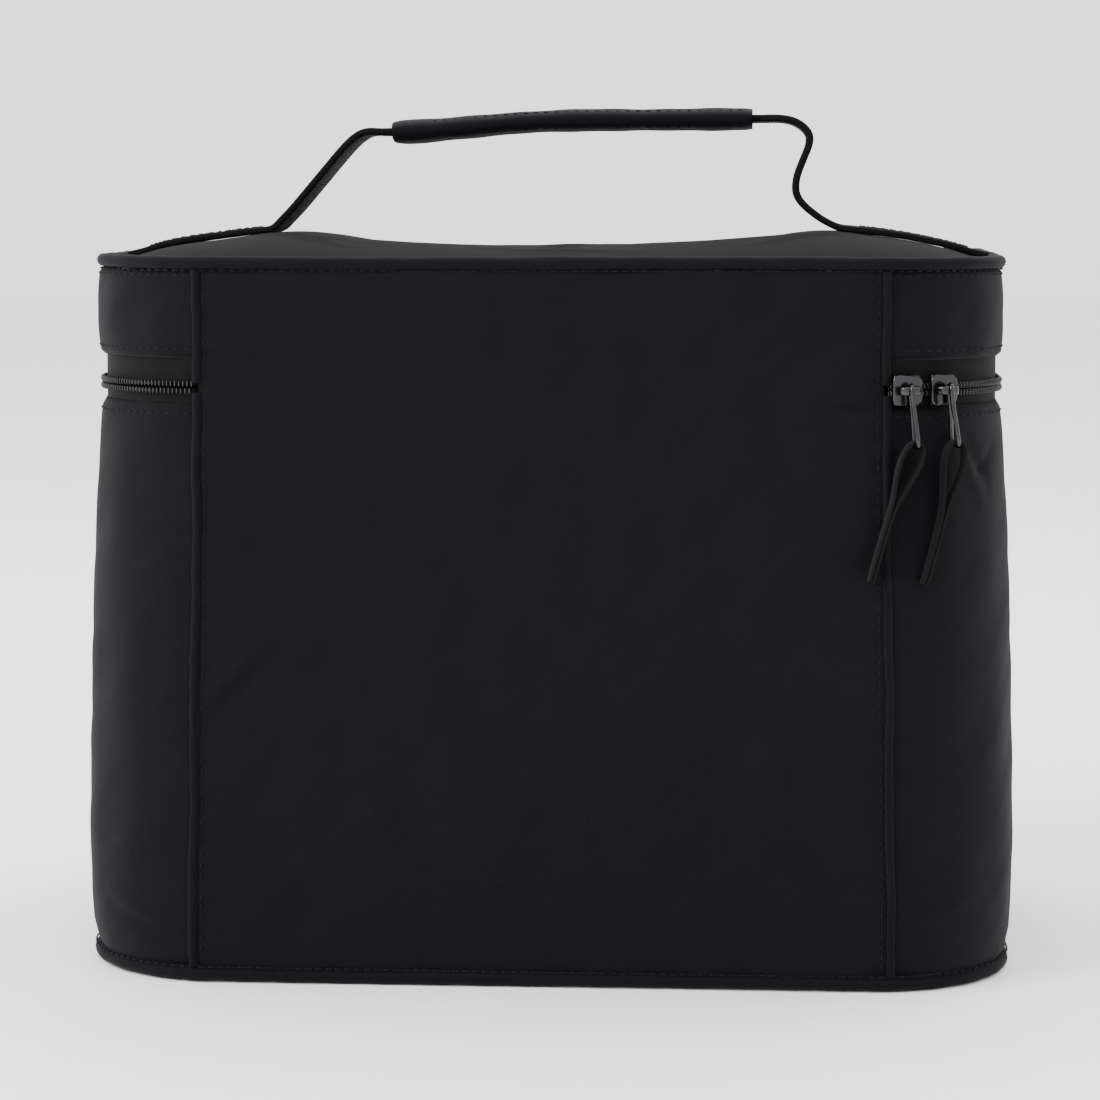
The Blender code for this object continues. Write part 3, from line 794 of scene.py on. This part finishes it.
FACING = {"1": 6.0, "2": 12.0}  # degrees that each pull is turned from facing straight back
LOOP_SIDE = [
    (0, 1.6, -2.5), (0, 1.62, -5.4), (0, 2.2, -7.4), (0, 3.2, -11.2), (0, 3.6, -13.4), (0, 3.45, -14.6),
    (0, 2.8, -15.2), (0, 1.4, -15.3),
]
PLY = [
    (0.55, -39.5), (0.52, -28), (0.6, -19.5), (1.1, -15), (2.1, -10.5), (2.8, -6.5), (2.9, -3.4), (2.3, -0.6),
    (1.2, 0.9), (0, 1.25),
]
for number, (angle, hang) in SLIDERS.items():
    place = turned(angle, (FLAT_X, -FLAT_Y, HINGE_Z))
    front = rounded_block((-4.3, at(-2.35), -4.5), (4.3, at(-1.3), 4.5), 1.8, taper=(1.0, 0.84))
    rear = rounded_block((-4.2, at(2.55), -4.0), (4.2, at(3.45), 4.0), 1.6, taper=(1.0, 0.84))
    rails = [rounded_block((-3.9, at(-1.6), z0), (3.6, at(0.7), z0 + 0.8), 0.3) for z0 in (-4.2, 3.4)]
    neck = rounded_block((2.2, at(-1.6), -0.2), (4.0, at(2.9), 0.2), 0.15)
    turn = np.radians(np.linspace(0, 180, 15))
    arch = [(-3.0 * cos(t), at(-2.0) - 3.45 * min(1.0, 1.25 * sin(t))) for t in turn]
    bridge = arch_rows(arch, 2.3, 1.1)
    obj = closed_rows(f"slider_body_{number}", [front, rear, *rails, neck, bridge], NICKEL, place)
    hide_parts(f"slider_{number}")
    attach(obj, f"slider_{number}")

    reach = CORNER + 4.9
    hinge = (FLAT_X + reach * sin(radians(angle)), -FLAT_Y - reach * cos(radians(angle)), HINGE_Z)
    place = turned(FACING[number], hinge)
    top = [(0, -1.6 * cos(t), 1.6 * sin(t)) for t in np.radians(np.linspace(0, 180, 17))]
    loop = top + LOOP_SIDE + [(x, -y, z) for x, y, z in reversed(LOOP_SIDE)]
    loop = [(max(0, -z) * 0.11, y, z) for _, y, z in loop]
    sideways = np.tile(place((1, 0, 0)) - place((0, 0, 0)), (len(loop), 1))
    wire = sweep(f"wire_loop_{number}", place(loop), circle(0.66, 12), NICKEL, closed=True, up=sideways)
    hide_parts(f"pull_ring_{number}")
    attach(wire, f"pull_ring_{number}")

    drop = radians(hang)
    place = turned(FACING[number], (hinge[0] + 1.7, hinge[1], HINGE_Z - 15.3))
    ply = spline(PLY + [(-x * 0.92, z) for x, z in reversed(PLY[:-1])], 0.7)
    bow = 0.9 * np.sin((ply[:, 1] + 42) / 44 * pi) * (-1 if number == "1" else 1)
    x, z = ply[:, 0] + bow, np.array(ply[:, 1])
    path = np.stack([x * cos(drop) - z * sin(drop), 0 * x, x * sin(drop) + z * cos(drop)], 1)
    normal = place(path + np.array([0, 1.0, 0])) - place(path)
    ribbon = sweep(f"ribbon_pull_{number}", place(path), slab(0.75, 5.4, 4, 0.3), RIBBON, up=normal)
    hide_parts(f"pull_tab_{number}")
    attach(ribbon, f"pull_tab_{number}")


# ---- inside: lining and what lies behind it ----

def tub(name, inset, z_floor, z_top, cad, body):
    """Film lining: floor and wall in one, with a soft corner and shallow creases."""
    s = np.linspace(0, LOOP, 360, endpoint=False)
    span = z_top - z_floor
    rows = []
    x, y, _, _ = around(s, inset)
    for f in [*np.linspace(0.02, 0.93, 16), 0.95]:
        dimple = 0.3 * unrest(x * f, y * f, 8, 40, 1.0) * (1 - f)
        rows.append(np.stack([x * f, y * f, z_floor + dimple], -1))
    for h in [1.2, 3.5, *np.linspace(8, span, 24)]:
        z = z_floor + h + 0 * s
        x, y, nx, ny = around(s, inset + 0.9 * np.exp(-h / 1.5))
        crease = np.clip(unrest(s, z, 9, 45, 0.5), -0.35, 0.5) * min(1, h / 12) * min(1, (span - h) / 8)
        rows.append(np.stack([x - crease * nx, y - crease * ny, z], -1))
    rows = np.array(rows)
    n, m = rows.shape[:2]
    obj = solid(name, rows.reshape(-1, 3), [*ring_faces(0, n, m), tuple(range(m))], FILM)
    thicken(obj, 0.5, 1)
    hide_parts(cad)
    pieces[body].append(obj)


tub("lining_tub", 6.1, 8.6, 161.5, "body_liner", "body")


def rim(name, inset, z0, z1, cad, body):
    """Binding tape over the raw edge of the lining, with its row of stitches."""
    s = np.linspace(0, LOOP, 500, endpoint=False)
    x, y, _, _ = around(s, inset)
    line = np.stack([x, y, (z0 + z1) / 2 + 0.2 * np.sin(s / 8.0)], -1)
    obj = sweep(name, line, slab(2.0, z1 - z0, 4, 0.6), BINDING, closed=True)
    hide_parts(cad)
    pieces[body].append(obj)
    x, y, nx, ny = around(s, inset + 1.05)
    line = np.stack([x, y, (z0 + z1) / 2 + 0 * s - 2], -1)
    inwards = np.stack([-nx, -ny, 0 * nx], -1)
    pieces[body].append(stitches(name + "_stitches", line, inwards, 3.0, 2.0, 0.25))


rim("body_rim_tape", 6.45, 152.2, 163.8, "body_rim_binding", "body")
rim("lid_rim_tape", 6.55, 178.4, 190.0, "lid_rim_binding", "lid")


def facing_ring(name, inset0, inset1, z, body):
    """Cloth that closes the edge of the foam at a mouth."""
    s = np.linspace(0, LOOP, 400, endpoint=False)
    rows = []
    for inset in np.linspace(inset0, inset1, 5):
        x, y, _, _ = around(s, inset)
        rows.append(np.stack([x, y, z + 0.15 * np.sin(s / 6.0)], -1))
    uv = np.stack(np.broadcast_arrays(s[None], np.linspace(0, 4, 5)[:, None]), -1)
    obj = grid(name, rows, uv, BINDING, closed=(False, True))
    thicken(obj, 0.5, 0)
    face_out(obj)
    pieces[body].append(obj)


facing_ring("body_mouth_facing", 2.15, 5.9, 158.9, "body")
facing_ring("lid_mouth_facing", 2.15, 6.4, 180.9, "lid")


def dress(node, mat):
    """Material on a CAD node that stays in the picture."""
    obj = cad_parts[node]
    obj.data.materials.clear()
    obj.data.materials.append(mat)


for node in ("wrap_foam", "back_foam", "base_foam", "lid_wall_foam", "lid_top_foam"):
    dress(node, FOAM)
dress("base_board", BOARD)
dress("lid_liner", FILM)


# ---- what moves with what ----

for body, objs in pieces.items():
    for obj in objs:
        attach(obj, body)
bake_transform(back)
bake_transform(strap)
for obj in bends:
    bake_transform(obj)


# ---- studio ----

bpy.ops.mesh.primitive_plane_add(size=12, location=(0, 0, -0.0001))
floor = bpy.context.object
floor.name = "floor"
paper = plain("paper", (0.93, 0.93, 0.93), 0.9, 0.0, 900.0, 0.00002, drift=0.01)
floor.data.materials.append(paper)

world = bpy.data.worlds.new("studio")
bpy.context.scene.world = world
world.use_nodes = True
world.node_tree.nodes["Background"].inputs["Color"].default_value = (1, 1, 1, 1)
world.node_tree.nodes["Background"].inputs["Strength"].default_value = 2.0


def aim(obj, location, target):
    obj.location = location
    obj.rotation_euler = (Vector(target) - Vector(location)).to_track_quat("-Z", "Y").to_euler()
    bpy.context.scene.collection.objects.link(obj)


def lamp(name, location, target, size, power):
    data = bpy.data.lights.new(name, "AREA")
    data.size, data.energy = size, power
    aim(bpy.data.objects.new(name, data), location, target)


lamp("key", (-1.5, -1.0, 1.3), (0, 0, 0.12), 1.2, 50)
lamp("top", (0.1, 0.5, 1.7), (0, 0, 0.2), 1.2, 26)

SENSOR, DISTANCE, VIEW_WIDTH, ZOOM = 36, 900, 315.7, 1.035  # mm; ZOOM closes in on what VIEW_WIDTH would show
lens = bpy.data.cameras.new("camera")
lens.lens, lens.sensor_width, lens.clip_end = SENSOR * DISTANCE / VIEW_WIDTH * ZOOM, SENSOR, 50
camera = bpy.data.objects.new("camera", lens)
aim(camera, (0.062, -0.98, 0.225), (0.003, -0.08, 0.125))
bpy.context.scene.camera = camera
